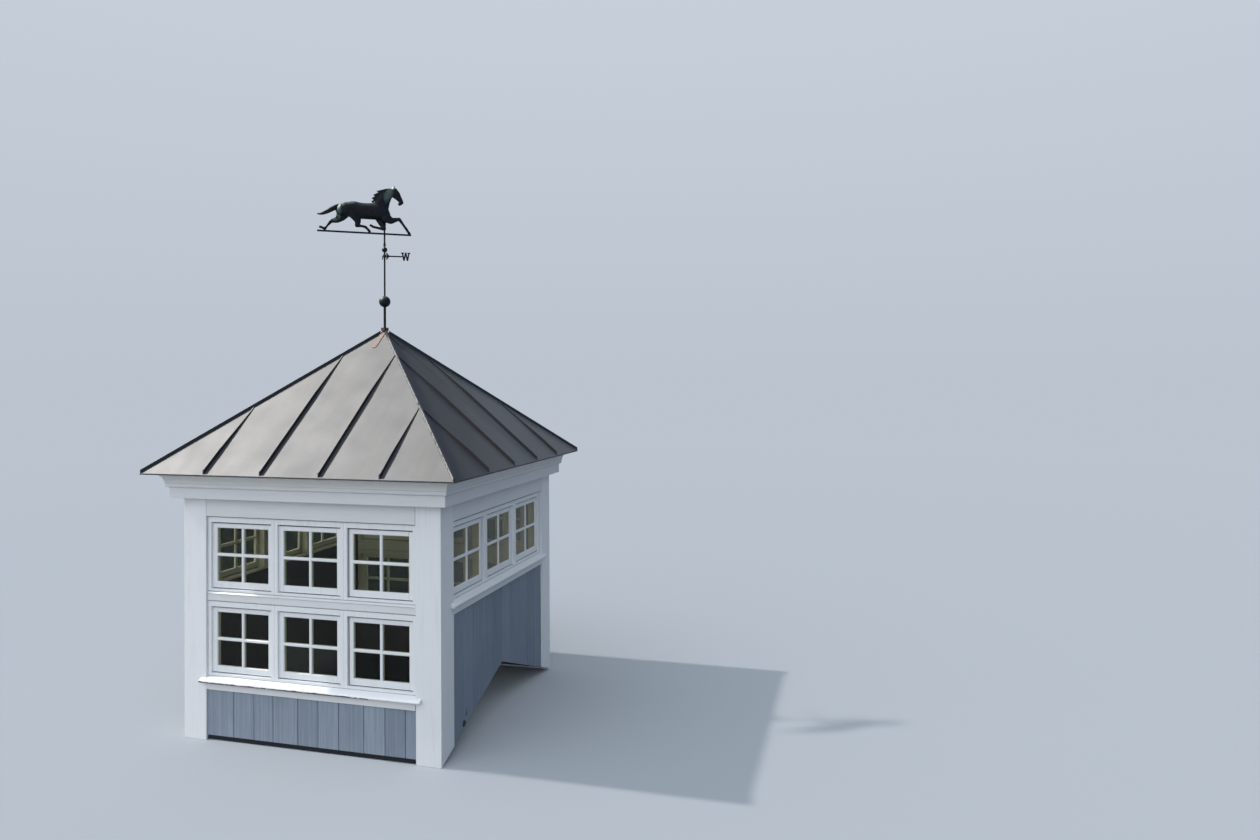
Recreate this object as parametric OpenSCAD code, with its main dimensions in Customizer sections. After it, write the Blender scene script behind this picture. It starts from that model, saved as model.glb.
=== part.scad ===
// Barn cupola: a square timber box with hung sashes on every face, a hipped
// standing-seam roof and a running-horse weathervane, seated over a barn's ridge.
// Millimetres. +X runs along the front, +Y to the back, +Z up. The origin is the
// centre of the plan, at the level of the four feet of the corner boards.

/* [Windows] */
// Width of one window unit, its frame included
unit_w = 610; // [580:2:640]
// Height of one window unit, its frame included
unit_h = 592; // [560:2:620]
// Thickness of the side jambs of a window frame
jamb_t = 29; // [24:1:34]
// Height of the head of a window frame
head_h = 45; // [35:1:55]
// Height of the foot of a window frame
foot_h = 22; // [16:1:30]
// How far a window frame lies behind the corner boards' faces
frame_set = 20; // [15:1:26]
// How far a sash lies behind the corner boards' faces
sash_set = 38; // [32:1:46]
// Thickness of a sash
sash_t = 35; // [28:1:42]
// Width of the stiles of a sash
stile_w = 38.5; // [30:0.5:48]
// Height of the top rail of a sash
top_rail_h = 42; // [34:1:52]
// Height of the bottom rail of a sash
bottom_rail_h = 53; // [42:1:66]
// Play between a sash and the jambs
side_play = 1.5; // [0.8:0.1:2.5]
// Play between a sash and the head
top_play = 3; // [1:0.5:5]
// Thickness of the glass
glass_t = 4; // [3:0.5:6]
// Height of the rail between the two rows of windows
mid_rail_h = 73; // [60:1:90]
// How far a window sill stands in front of the corner boards' faces
sill_out = 34; // [24:1:46]
// Thickness of a sill's nose
sill_nose = 25; // [18:1:32]
// Fall of a sill from the frame to its nose
sill_fall = 21; // [12:1:28]
// How far a sill's horns lap the corner boards
horn = 50; // [30:2:80]
// Height of the apron under a sill
apron_h = 56; // [40:1:72]
// Thickness of an apron
apron_t = 14; // [10:1:20]

/* [Walls] */
// Height of the wall below the front windows
base_h = 501; // [480:2:560]
// Thickness of the wall's frame and sheathing
wall_t = 100; // [90:1:125]
// Width of a corner board
corner_w = 210; // [180:2:240]
// Thickness of the corner and frieze boards
corner_t = 28; // [24:1:32]
// Thickness of the vertical siding
siding_t = 16; // [12:1:20]
// Height of the frieze between the windows and the fascia
frieze_h = 150; // [120:2:180]
// Height of the flashing that shows under the front and back siding
flashing_h = 38; // [25:1:50]
// Thickness of the flashing's turned-up leg
flashing_t = 12; // [4:1:14]
// Rise of the barn roof under the cupola, in 12
barn_rise = 4.5; // [4:0.1:5]

/* [Eaves] */
// How far the fascia's face stands out from the wall
fascia_out = 76; // [60:1:95]
// Thickness of the fascia
fascia_t = 19; // [16:1:25]
// Height of the fascia that shows below the crown moulding
fascia_band = 85; // [70:1:100]
// Thickness of the soffit boards
soffit_t = 19; // [12:1:25]
// How far the soffit lies above the fascia's lower edge
soffit_set = 17; // [10:1:30]
// Height of the drip edge's lower line above the fascia's lower edge
eave_h = 195; // [185:1:210]
// How far the metal eave stands out from the wall
eave_out = 222; // [214:1:236]
// How far the metal laps past the crown moulding
eave_lap = 17; // [12:1:24]
// How far the roof boards stop behind the crown moulding's top edge
deck_in = 45; // [38:1:56]
// Height of the crown moulding's foot bead
bead_h = 35; // [26:1:44]
// How far the crown moulding's foot bead stands out from the fascia
bead_out = 20; // [12:1:26]

/* [Roof] */
// Rise of the cupola's roof, in 12
roof_rise = 10.25; // [9.5:0.05:11]
// Thickness of the roof boards, measured plumb
deck_t = 25; // [20:1:32]
// Thickness of the roofing, measured plumb
metal_t = 4; // [3:0.5:6]
// Distance between standing seams
seam_gap = 503; // [440:1:560]
// Height of a standing seam, measured plumb
seam_h = 36; // [24:1:46]
// Width of a standing seam
seam_w = 11; // [8:1:16]
// Level length over which a seam folds down to the hip
fold_run = 430; // [300:5:500]
// Height of a seam where it meets the hip, measured plumb
fold_h = 6; // [3:0.5:10]
// Width of a hip seam
hip_w = 13; // [10:1:18]
// Height of a hip seam above the hip, measured plumb
hip_h = 24; // [16:1:36]
// Height of the drip edge's turned-down leg
drip_h = 10; // [8:1:14]
// Width of the rafters
rafter_w = 38; // [30:1:50]
// Depth of the rafters, measured plumb
rafter_d = 158; // [140:1:180]
// Distance of the jack rafters from the common rafter
jack_gap = 400; // [340:5:460]

/* [Weathervane] */
// Length of a bracket strap, measured level
strap_run = 188; // [150:2:230]
// Width of a bracket strap
strap_w = 42; // [32:1:52]
// Thickness of a bracket strap, measured plumb
strap_t = 6; // [5:0.5:8]
// Radius of the lower post
post_r = 11; // [9:0.5:13]
// Radius of the rod above the large ball
rod_r = 7.5; // [7:0.1:8.5]
// Radius of the large ball
big_ball_r = 50; // [42:1:60]
// Height of the large ball's centre above the roof's apex
big_ball_h = 260; // [225:1:300]
// Radius of the small ball
small_ball_r = 24; // [18:1:28]
// Height of the compass arms above the roof's apex
arms_h = 666; // [620:1:700]
// Height of the small ball's centre above the compass arms
small_ball_h = 57; // [52:1:66]
// Distance of a compass letter's centre from the rod
letter_at = 182; // [160:1:210]
// Turn of the west arm from +X
arms_turn = 31; // [10:1:40]
// Radius of the bearing pin that the figure turns on
pin_r = 5; // [4:0.1:5]
// Height of the figure's bar above the small ball's centre
bar_h = 134; // [120:1:150]
// Depth of the figure's bar
bar_d = 14; // [10:1:18]
// Width of the figure's bar
bar_w = 16; // [14:1:22]
// Heading of the figure from +X
heading = 37; // [0:1:90]

/* [Hidden] */

FRONT = 0;
RIGHT = 90;
BACK = 180;
LEFT = 270;
FACES = [FRONT, RIGHT, BACK, LEFT];
units = 3;

// Clearances
joint_gap = 0.3;
mitre_gap = 0.35;
bearing_gap = 0.3;
pin_gap = 0.08;
turn_gap = 5;

// Plan: distances out from the centre to each layer of a face
opening_w = units * unit_w;
face_r = opening_w / 2 + corner_w;
sheath_r = face_r - corner_t;
inner_r = sheath_r - wall_t;
frame_r = face_r - frame_set;
sash_r = face_r - sash_set;
glass_r = sash_r - 10;
siding_r = sheath_r + siding_t;
soffit_r = face_r + fascia_out - fascia_t;
fascia_r = face_r + fascia_out;
eave_r = face_r + eave_out;
crown_r = eave_r - eave_lap;
deck_r = crown_r - deck_in;
seam_end = eave_r - 5;

// Heights
lower_z = base_h;
rail_z = lower_z + unit_h;
upper_z = rail_z + mid_rail_h;
frieze_z = upper_z + unit_h;
eaves_z = frieze_z + frieze_h;
soffit_z = eaves_z + soffit_set;
crown_z = eaves_z + fascia_band;
drip_z = eaves_z + eave_h;
pitch = roof_rise / 12;
eave_top = drip_z + drip_h;
apex_z = roof_z(0);
cover = metal_t + joint_gap + deck_t;
plate_z = under_z(sheath_r) - rafter_d + 40;
barn_pitch = barn_rise / 12;
ridge_z = face_r * barn_pitch;

// Weathervane heights
socket_h = 28;
king_r = 50;
king_h = 260;
king_z = seat_z(king_r);
big_ball_z = apex_z + big_ball_h;
arms_z = apex_z + arms_h;
small_ball_z = arms_z + small_ball_h;
spindle_z = small_ball_z + small_ball_r + turn_gap + 5;
bar_z = small_ball_z + bar_h;
bar_top = bar_z + bar_d;
knee_h = 22;
reach = 2 * eave_r;

// Height of the roof's outer surface at a distance out from the centre
function roof_z(r) = eave_top + (eave_r - r) * pitch;
// Height of the roof boards' underside
function under_z(r) = roof_z(r) - cover;
// Heights at which pieces stop just under the roof boards and just under the roofing
function seat_z(r) = under_z(r) - joint_gap;
function metal_seat_z(r) = roof_z(r) - metal_t - joint_gap;

// Repeats what is drawn for the front on the named faces
module on_faces(faces) {
    for (turn = faces) rotate([0, 0, turn]) children();
}

// A square block of the front face, from side to side, out from the centre and up
module block(side, out, up) {
    translate([side[0], -out[1], up[0]])
        cube([side[1] - side[0], out[1] - out[0], up[1] - up[0]]);
}

// A section drawn as [out, up], run along the front face
module along_face(length) {
    rotate([90, 0, -90]) linear_extrude(length, center = true) children();
}

// The quarter of the plan in front of both diagonals, drawn in by a gap
module quarter(gap) {
    linear_extrude(2 * apex_z)
        polygon([[0, -gap], [reach, -reach - gap], [-reach, -reach - gap]]);
}

// A section run round the whole plan and mitred at the corners
module mitred_ring() {
    on_faces(FACES) intersection() {
        along_face(2 * reach) children();
        quarter(mitre_gap);
    }
}

// The barn's two roof slopes, which cut what stands over them
module barn_roof() {
    rotate([90, 0, 90]) linear_extrude(2 * reach, center = true)
        polygon([[-face_r, 0], [0, ridge_z], [face_r, 0], [face_r, -face_r], [-face_r, -face_r]]);
}

// Walls
module gable_panel(face, out, top_z) {
    // Two boards of wall meet at the ridge line and are cut to the barn's slopes
    difference() {
        on_faces([face]) for (side = [-1, 1]) {
            low = side < 0 ? -opening_w / 2 : joint_gap;
            block([low, low + opening_w / 2 - joint_gap], out, [0, top_z]);
        }
        barn_roof();
    }
}

module level_panel(face) {
    difference() {
        on_faces([face]) block([-opening_w / 2, opening_w / 2], [inner_r, sheath_r], [0, lower_z]);
        barn_roof();
    }
}

module front_wall() { color("tan") level_panel(FRONT); }
module back_wall() { color("tan") level_panel(BACK); }
module left_wall() { color("tan") gable_panel(LEFT, [inner_r, sheath_r], upper_z); }
module right_wall() { color("tan") gable_panel(RIGHT, [inner_r, sheath_r], upper_z); }

module corner_posts() {
    color("tan") difference() {
        on_faces(FACES) {
            block([inner_r, sheath_r], [inner_r, sheath_r], [0, frieze_z]);
            for (side = [0, 1]) mirror([side, 0, 0])
                block([opening_w / 2, inner_r - joint_gap], [inner_r, sheath_r], [0, frieze_z]);
        }
        barn_roof();
    }
}

module top_plate() {
    color("tan") {
        on_faces([FRONT, BACK])
            block([-sheath_r, sheath_r], [inner_r, sheath_r], [frieze_z, plate_z]);
        on_faces([LEFT, RIGHT])
            block([-inner_r + joint_gap, inner_r - joint_gap], [inner_r, sheath_r],
                [frieze_z, plate_z]);
    }
}

// Boards on the walls
module level_corner_boards(face) {
    on_faces([face]) for (side = [0, 1]) mirror([side, 0, 0])
        block([opening_w / 2, face_r], [sheath_r, face_r], [0, soffit_z]);
}

module front_corner_boards() { color("white") level_corner_boards(FRONT); }
module back_corner_boards() { color("white") level_corner_boards(BACK); }

module side_corner_boards() {
    color("white") difference() {
        on_faces([LEFT, RIGHT]) for (side = [0, 1]) mirror([side, 0, 0])
            block([opening_w / 2, sheath_r], [sheath_r, face_r], [0, soffit_z]);
        barn_roof();
    }
}

module level_siding(face) {
    on_faces([face]) block([-opening_w / 2, opening_w / 2], [sheath_r, siding_r],
        [flashing_h, lower_z - sill_fall - sill_nose]);
}

module front_siding() { color("slategray") level_siding(FRONT); }
module back_siding() { color("slategray") level_siding(BACK); }

module gable_siding(face) {
    gable_panel(face, [sheath_r, siding_r], upper_z - sill_fall - sill_nose);
}

module left_siding() { color("slategray") gable_siding(LEFT); }
module right_siding() { color("slategray") gable_siding(RIGHT); }

module frieze_boards() {
    color("white") on_faces(FACES)
        block([-opening_w / 2, opening_w / 2], [sheath_r, face_r], [frieze_z, soffit_z]);
}

module base_flashing() {
    color("dimgray") difference() {
        on_faces([FRONT, BACK]) block([-opening_w / 2, opening_w / 2],
            [sheath_r, sheath_r + flashing_t], [0, flashing_h]);
        barn_roof();
    }
}

// Windows
frame_in = [inner_r, frame_r];
light_w = unit_w - 2 * jamb_t;
light_h = unit_h - head_h - foot_h;
sash_w = light_w - 2 * side_play;
sash_h = light_h - top_play;
glass_w = sash_w - 2 * stile_w;
glass_h = sash_h - top_rail_h - bottom_rail_h;

// Repeats what is drawn at x = 0 in every unit of a row
module each_unit() {
    for (i = [0 : units - 1]) translate([(i - (units - 1) / 2) * unit_w, 0, 0]) children();
}

// The mullion between two units: two jambs side by side with an open joint
module mullion() {
    groove = 3;
    difference() {
        block([-jamb_t, jamb_t], frame_in, [0, unit_h]);
        block([-groove / 2, groove / 2], [frame_r - groove, frame_r + groove], [-1, unit_h + 1]);
    }
}

module frame_row(face, row_z) {
    half = light_w / 2 - joint_gap;
    on_faces([face]) translate([0, 0, row_z]) {
        for (side = [0, 1]) mirror([side, 0, 0])
            block([opening_w / 2 - jamb_t, opening_w / 2], frame_in, [0, unit_h]);
        for (i = [1 : units - 1]) translate([(i - units / 2) * unit_w, 0, 0]) mullion();
        each_unit() {
            block([-half, half], frame_in, [0, foot_h]);
            block([-half, half], frame_in, [unit_h - head_h, unit_h]);
        }
    }
}

module front_window_frame() { color("white") for (z = [lower_z, upper_z]) frame_row(FRONT, z); }
module back_window_frame() { color("white") for (z = [lower_z, upper_z]) frame_row(BACK, z); }
module left_window_frame() { color("white") frame_row(LEFT, upper_z); }
module right_window_frame() { color("white") frame_row(RIGHT, upper_z); }

// A sash: two full stiles and two rails between them
module sash() {
    depth = [sash_r - sash_t, sash_r];
    for (side = [0, 1]) mirror([side, 0, 0])
        block([sash_w / 2 - stile_w, sash_w / 2], depth, [0, sash_h]);
    half = sash_w / 2 - stile_w - joint_gap;
    block([-half, half], depth, [0, bottom_rail_h]);
    block([-half, half], depth, [sash_h - top_rail_h, sash_h]);
}

module sash_row(face, row_z) {
    on_faces([face]) translate([0, 0, row_z + foot_h]) each_unit() sash();
}

module front_sashes() { color("white") for (z = [lower_z, upper_z]) sash_row(FRONT, z); }
module back_sashes() { color("white") for (z = [lower_z, upper_z]) sash_row(BACK, z); }
module left_sashes() { color("white") sash_row(LEFT, upper_z); }
module right_sashes() { color("white") sash_row(RIGHT, upper_z); }

module pane() {
    half = glass_w / 2 - joint_gap;
    low = foot_h + bottom_rail_h + joint_gap;
    block([-half, half], [glass_r - glass_t, glass_r], [low, low + glass_h - 2 * joint_gap]);
}

module window_glass() {
    color("lightblue", 0.4) {
        on_faces(FACES) translate([0, 0, upper_z]) each_unit() pane();
        on_faces([FRONT, BACK]) translate([0, 0, lower_z]) each_unit() pane();
    }
}

// The rail between the rows, with a weathered nose that sheds water over the lower heads
module mid_rails() {
    nose_r = face_r - 5;
    rail_r = frame_r + 7;
    color("white") on_faces([FRONT, BACK]) along_face(opening_w)
        polygon([[inner_r, rail_z], [rail_r, rail_z], [rail_r, upper_z - 16],
            [nose_r, upper_z - 15], [nose_r, upper_z - 9], [frame_r, upper_z],
            [inner_r, upper_z]]);
}

// A sill's section: a weathered top, a round nose and a flat underside
module sill_section() {
    nose_r = face_r + sill_out - sill_nose / 2;
    polygon([[sheath_r, 0], [frame_r, 0], [nose_r, -sill_fall],
        [nose_r, -sill_fall - sill_nose], [sheath_r, -sill_fall - sill_nose]]);
    translate([nose_r, -sill_fall - sill_nose / 2]) circle(d = sill_nose, $fn = 48);
}

module sill() {
    along_face(opening_w) sill_section();
    along_face(opening_w + 2 * horn) intersection() {
        sill_section();
        translate([face_r, -reach]) square([reach, 2 * reach]);
    }
}

module window_sills() {
    color("white") {
        on_faces([FRONT, BACK]) translate([0, 0, lower_z]) sill();
        on_faces([LEFT, RIGHT]) translate([0, 0, upper_z]) sill();
    }
}

module apron(row_z) {
    top = row_z - sill_fall - sill_nose;
    block([-opening_w / 2, opening_w / 2], [siding_r, siding_r + apron_t], [top - apron_h, top]);
}

module sill_aprons() {
    color("white") {
        on_faces([FRONT, BACK]) apron(lower_z);
        on_faces([LEFT, RIGHT]) apron(upper_z);
    }
}

// Eaves
module soffit() {
    color("white") mitred_ring()
        translate([sheath_r, soffit_z]) square([soffit_r - sheath_r, soffit_t]);
}

module fascia() {
    color("white") mitred_ring()
        polygon([[soffit_r, eaves_z], [fascia_r, eaves_z], [fascia_r, seat_z(fascia_r)],
            [soffit_r, seat_z(soffit_r)]]);
}

// Crown moulding: a foot bead, a cove and a top fillet, backed up to the roof boards
module crown_section() {
    bead_r = fascia_r + bead_out;
    cove_z = crown_z + bead_h;
    fillet_z = drip_z - 2;
    cove_w = crown_r - 6 - bead_r;
    cove_h = fillet_z - cove_z;
    difference() {
        polygon([[fascia_r, crown_z], [bead_r - 7, crown_z], [bead_r, crown_z + 7],
            [bead_r, cove_z - 4], [bead_r + 4, cove_z], [crown_r - 6, cove_z],
            [crown_r - 6, fillet_z], [crown_r, fillet_z], [crown_r, metal_seat_z(crown_r)],
            [deck_r, metal_seat_z(deck_r)], [deck_r, seat_z(deck_r)],
            [fascia_r, seat_z(fascia_r)]]);
        // The cove's curve is an arc whose centre lies out and down from the moulding
        translate([bead_r + 4 + cove_arc(cove_w - 4, cove_h), cove_z])
            circle(r = cove_arc(cove_w - 4, cove_h), $fn = 96);
    }
}

// Radius of the arc that leaves upright and passes a point so far out and up
function cove_arc(w, h) = (w * w + h * h) / (2 * w);

module crown_moulding() { color("white") mitred_ring() crown_section(); }

// A band of roof between two plumb offsets from the roof's surface
module roof_band(out, low, high) {
    polygon([[out[0], roof_z(out[0]) + low], [out[1], roof_z(out[1]) + low],
        [out[1], roof_z(out[1]) + high], [out[0], roof_z(out[0]) + high]]);
}

module post_hole(r) {
    cylinder(r = r, h = 2 * apex_z, $fn = 64);
}

module roof_deck() {
    color("tan") difference() {
        mitred_ring() roof_band([0, deck_r], -cover, -metal_t - joint_gap);
        post_hole(post_r + joint_gap);
    }
}

// A standing seam at a place along the eave. It meets the hip as far out as it lies to one side,
// and is folded down flat there
module standing_seam(x) {
    hip_out = abs(x);
    full_out = hip_out + fold_run;
    translate([x, 0, 0]) along_face(seam_w)
        polygon([[hip_out, roof_z(hip_out) - metal_t / 2], [seam_end, roof_z(seam_end) - metal_t / 2],
            [seam_end, roof_z(seam_end) + seam_h], [full_out, roof_z(full_out) + seam_h],
            [hip_out, roof_z(hip_out) + fold_h]]);
}

// One slope of roofing: the pan and its standing seams, stopped at the hip seams
module roof_slope(face) {
    seams = floor(eave_r / seam_gap);
    hip_gap = (hip_w / 2 + joint_gap) * sqrt(2);
    difference() {
        on_faces([face]) intersection() {
            union() {
                along_face(2 * reach) roof_band([0, eave_r], -metal_t, 0);
                for (i = [-seams : seams - 1]) standing_seam((i + 0.5) * seam_gap);
            }
            quarter(hip_gap);
        }
        post_hole(post_r + joint_gap);
    }
}

module front_roof_slope() { color("dimgray") roof_slope(FRONT); }
module right_roof_slope() { color("dimgray") roof_slope(RIGHT); }
module back_roof_slope() { color("dimgray") roof_slope(BACK); }
module left_roof_slope() { color("dimgray") roof_slope(LEFT); }

// Hip seams run up the diagonals and stop clear of the bracket's socket
module hip_seams() {
    diagonal = sqrt(2);
    socket_gap = 3;
    strap_gap = 1;
    start = max(socket_r() + socket_gap, (strap_w / 2 + strap_gap) * diagonal + hip_w / 2);
    end = eave_r * diagonal - hip_w / 2;
    color("dimgray") for (turn = FACES) rotate([0, 0, turn + 45])
        along_face(hip_w)
            polygon([[start, apex_z - metal_t - start * pitch / diagonal],
                [end, apex_z - metal_t - end * pitch / diagonal],
                [end, apex_z + hip_h - end * pitch / diagonal],
                [start, apex_z + hip_h - start * pitch / diagonal]]);
}

module drip_edge() {
    leg = 3;
    color("dimgray") mitred_ring()
        polygon([[crown_r + joint_gap, metal_seat_z(crown_r) - leg],
            [eave_r - leg, metal_seat_z(eave_r - leg) - leg], [eave_r - leg, drip_z],
            [eave_r, drip_z], [eave_r, metal_seat_z(eave_r)],
            [crown_r + joint_gap, metal_seat_z(crown_r + joint_gap)]]);
}

// Roof frame
// All that lies under the roof's surface once it is dropped by so much
module under_roof(drop) {
    intersection() {
        ridged_solid(0, drop);
        ridged_solid(90, drop);
    }
}

module ridged_solid(turn, drop) {
    rotate([0, 0, turn]) along_face(2 * reach)
        polygon([[-reach, roof_z(reach) - drop], [0, apex_z - drop], [reach, roof_z(reach) - drop]]);
}

module plate_bed() {
    difference() {
        translate([-sheath_r, -sheath_r, 0]) cube([2 * sheath_r, 2 * sheath_r, plate_z]);
        translate([-inner_r, -inner_r, -1]) cube([2 * inner_r, 2 * inner_r, plate_z + 2]);
    }
}

module king_octagon(low, high) {
    translate([0, 0, low]) rotate([0, 0, 22.5])
        cylinder(r = king_r / cos(22.5), h = high - low, $fn = 8);
}

module king_block() { color("tan") king_octagon(king_z - king_h, king_z); }

module hip_rafters() {
    diagonal = sqrt(2);
    tail = soffit_r + rafter_w;
    color("tan") difference() {
        intersection() {
            // The blank stands above the roof boards and past the corner before it is cut
            for (turn = FACES) rotate([0, 0, turn + 45]) along_face(rafter_w)
                polygon([[king_r, under_z(king_r / diagonal) - rafter_d],
                    [tail * diagonal, under_z(tail) - rafter_d],
                    [tail * diagonal, under_z(tail) + rafter_w],
                    [king_r, under_z(king_r / diagonal) + rafter_w]]);
            under_roof(cover + joint_gap);
            translate([-soffit_r, -soffit_r, 0]) cube([2 * soffit_r, 2 * soffit_r, 2 * apex_z]);
        }
        plate_bed();
    }
}

module rafters() {
    hip_side = (rafter_w / 2 + joint_gap) * sqrt(2);
    color("tan") difference() {
        on_faces(FACES) for (x = [-jack_gap, 0, jack_gap]) intersection() {
            translate([x, 0, 0]) along_face(rafter_w)
                roof_band([king_r, soffit_r], -cover - rafter_d, -cover - joint_gap);
            quarter(hip_side);
        }
        plate_bed();
    }
}

// Weathervane
function socket_r() = post_r + 11;

// A strap with a round end, and its tab that stands up against the socket
module strap() {
    tab_w = strap_w - 10;
    intersection() {
        along_face(strap_w) roof_band([post_r, strap_run], joint_gap, strap_t);
        linear_extrude(2 * apex_z) {
            translate([-strap_w / 2, strap_w / 2 - strap_run]) square([strap_w, strap_run - strap_w / 2]);
            translate([0, strap_w / 2 - strap_run]) circle(d = strap_w, $fn = 48);
        }
    }
    block([-tab_w / 2, tab_w / 2], [post_r, socket_r() + strap_t], [apex_z, apex_z + socket_h]);
}

// A socket on the apex with a strap screwed down the middle of each slope
module vane_bracket() {
    color("sienna") difference() {
        union() {
            difference() {
                translate([0, 0, apex_z - 3 * socket_h])
                    cylinder(r = socket_r(), h = 4 * socket_h, $fn = 64);
                under_roof(-joint_gap);
            }
            on_faces(FACES) strap();
        }
        post_hole(post_r + joint_gap);
    }
}

// The fixed post: a tube up to the large ball, a rod above it and a bearing pin on top
module vane_post() {
    rod_top = small_ball_z + small_ball_r + 5;
    color("darkslategray") {
        translate([0, 0, king_z]) cylinder(r = post_r, h = big_ball_z - king_z, $fn = 64);
        translate([0, 0, king_z]) cylinder(r = rod_r, h = rod_top - king_z, $fn = 64);
        translate([0, 0, king_z]) cylinder(r = pin_r, h = bar_z - bearing_gap - king_z, $fn = 64);
    }
}

// A ball with the post's own step inside it
module vane_balls() {
    color("darkslategray") {
        difference() {
            translate([0, 0, big_ball_z]) sphere(r = big_ball_r, $fn = 96);
            translate([0, 0, big_ball_z - 2 * big_ball_r])
                cylinder(r = post_r + joint_gap, h = 2 * big_ball_r + joint_gap, $fn = 64);
            translate([0, 0, big_ball_z])
                cylinder(r = rod_r + joint_gap, h = 2 * big_ball_r, $fn = 64);
        }
        difference() {
            translate([0, 0, small_ball_z]) sphere(r = small_ball_r, $fn = 96);
            translate([0, 0, small_ball_z - 2 * small_ball_r])
                cylinder(r = rod_r + joint_gap, h = 4 * small_ball_r, $fn = 64);
        }
    }
}

// Compass letters: slab-serif plates in the plane of their arm
arm_r = 6;
letter_h = 74;
letter_t = 5;
stem = 13;

module stroke(a, b, w = stem) {
    polygon([[a[0] - w / 2, a[1]], [a[0] + w / 2, a[1]], [b[0] + w / 2, b[1]],
        [b[0] - w / 2, b[1]]]);
}

module serif(x, y, w = 27) {
    translate([x - w / 2, y - 4.5]) square([w, 9]);
}

module letter_w() {
    top = letter_h / 2;
    for (side = [0, 1]) mirror([side, 0]) {
        stroke([29, top], [15, -top]);
        stroke([15, -top], [0, top]);
        serif(28, top - 4.5);
    }
    serif(0, top - 4.5, 18);
}

module letter_n() {
    top = letter_h / 2;
    for (x = [-24, 24]) {
        stroke([x, top], [x, -top], 11);
        serif(x, -sign(x) * (top - 4.5));
        serif(x, sign(x) * (top - 4.5), 20);
    }
    stroke([-24, top], [24, -top], 15);
}

module letter_s() {
    bend_r = (letter_h + stem) / 4;
    for (half = [0, 1]) rotate([0, 0, 180 * half])
        translate([0, bend_r - stem / 2]) difference() {
            circle(r = bend_r, $fn = 48);
            circle(r = bend_r - stem, $fn = 48);
            translate([0, -2 * bend_r]) square(2 * bend_r);
        }
}

// One curled prong of the plate that braces an arm, which runs along +X
module prong() {
    translate([0, arm_r / 2, 0]) rotate([90, 0, 0]) linear_extrude(arm_r)
        polygon([[46, 0], [46, 5], [36, 10], [26, 21], [22, 33], [12, 27], [15, 16], [24, 0]]);
}

// A letter plate at the end of its arm, with two prongs near the hub
module compass_arm(half_w) {
    rotate([0, 90, 0]) cylinder(r = arm_r, h = letter_at - half_w + 8, $fn = 32);
    for (side = [0, 1]) mirror([0, 0, side]) prong();
    translate([letter_at, letter_t / 2, 0]) rotate([90, 0, 0]) linear_extrude(letter_t) children();
}

// The hub and its arms: the east arm is broken off at its boss
module compass_arms() {
    hub_r = 15;
    hub_h = 26;
    color("darkslategray") translate([0, 0, arms_z]) rotate([0, 0, arms_turn]) difference() {
        union() {
            translate([0, 0, -hub_h / 2]) cylinder(r = hub_r, h = hub_h, $fn = 48);
            compass_arm(29) letter_w();
            rotate([0, 0, 270]) compass_arm(24) letter_n();
            rotate([0, 0, 90]) compass_arm(18) letter_s();
            mirror([1, 0, 0]) intersection() {
                translate([-hub_r, -hub_r, -reach]) cube([hub_r + 22, 2 * hub_r, reach]);
                union() {
                    rotate([0, 90, 0]) cylinder(r = arm_r, h = 2 * hub_r, $fn = 32);
                    mirror([0, 0, 1]) prong();
                }
            }
        }
        translate([0, 0, -hub_h]) cylinder(r = rod_r + joint_gap, h = 2 * hub_h, $fn = 64);
    }
}

// The turning tube, its tapered skirt, the bar and the stub that the figure's knee sits on
module vane_spindle() {
    bar_back = -566;
    bar_front = 232;
    skirt_h = 34;
    color("darkslategray") difference() {
        union() {
            translate([0, 0, spindle_z]) cylinder(r1 = 12, r2 = rod_r, h = skirt_h, $fn = 64);
            translate([0, 0, spindle_z + skirt_h])
                cylinder(r = rod_r, h = bar_top + knee_h - spindle_z - skirt_h, $fn = 64);
            rotate([0, 0, heading]) translate([bar_back, -bar_w / 2, bar_z])
                cube([bar_front - bar_back, bar_w, bar_d]);
        }
        translate([0, 0, spindle_z - 1])
            cylinder(r = pin_r + pin_gap, h = bar_z - spindle_z + 1, $fn = 64);
    }
}

// The running horse, as rounded lengths between stations. A station is
// [along the bar, up from the bar, half height, half width, to one side].
trunk = [[-386, 172, 24, 18, 0], [-366, 184, 46, 36, 0], [-322, 192, 62, 46, 0],
    [-262, 195, 71, 46, 0], [-200, 186, 70, 48, 0], [-138, 186, 70, 49, 0],
    [-70, 190, 74, 48, 0], [-22, 184, 64, 42, 0], [8, 163, 43, 32, 0]];
neck = [[-40, 222, 74, 36, 0], [-12, 280, 58, 30, 0], [18, 328, 45, 25, 0],
    [52, 364, 34, 21, 0], [80, 384, 28, 19, 0]];
head = [[84, 382, 29, 20, 0], [99, 351, 37, 20, 0], [121, 325, 26, 17, 0],
    [136, 304, 21, 15, 0], [147, 283, 18, 15, 0], [131, 267, 13, 12, 0]];
tail = [[-364, 225, 15, 13, 0], [-405, 211, 20, 16, 0], [-442, 189, 21, 16, 0],
    [-480, 165, 18, 13, 0], [-516, 146, 13, 10, 0], [-542, 138, 8, 7, 0], [-562, 139, 5, 5, 0]];
hind_back = [[-340, 172, 54, 26, 20], [-368, 130, 42, 20, 22], [-400, 98, 26, 15, 20],
    [-448, 86, 16, 12, 15], [-480, 45, 9, 8, 10], [-503, 11, 11, 9, 5], [-524, 22, 9, 8, 4],
    [-542, 27, 10, 9, 4]];
hind_under = [[-268, 168, 52, 26, -20], [-238, 118, 36, 20, -22], [-228, 86, 25, 15, -20],
    [-237, 52, 16, 12, -16], [-200, 51, 10, 9, -12], [-164, 45, 11, 9, -8], [-142, 24, 10, 8, -5],
    [-129, 8, 12, 9, -4]];
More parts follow.
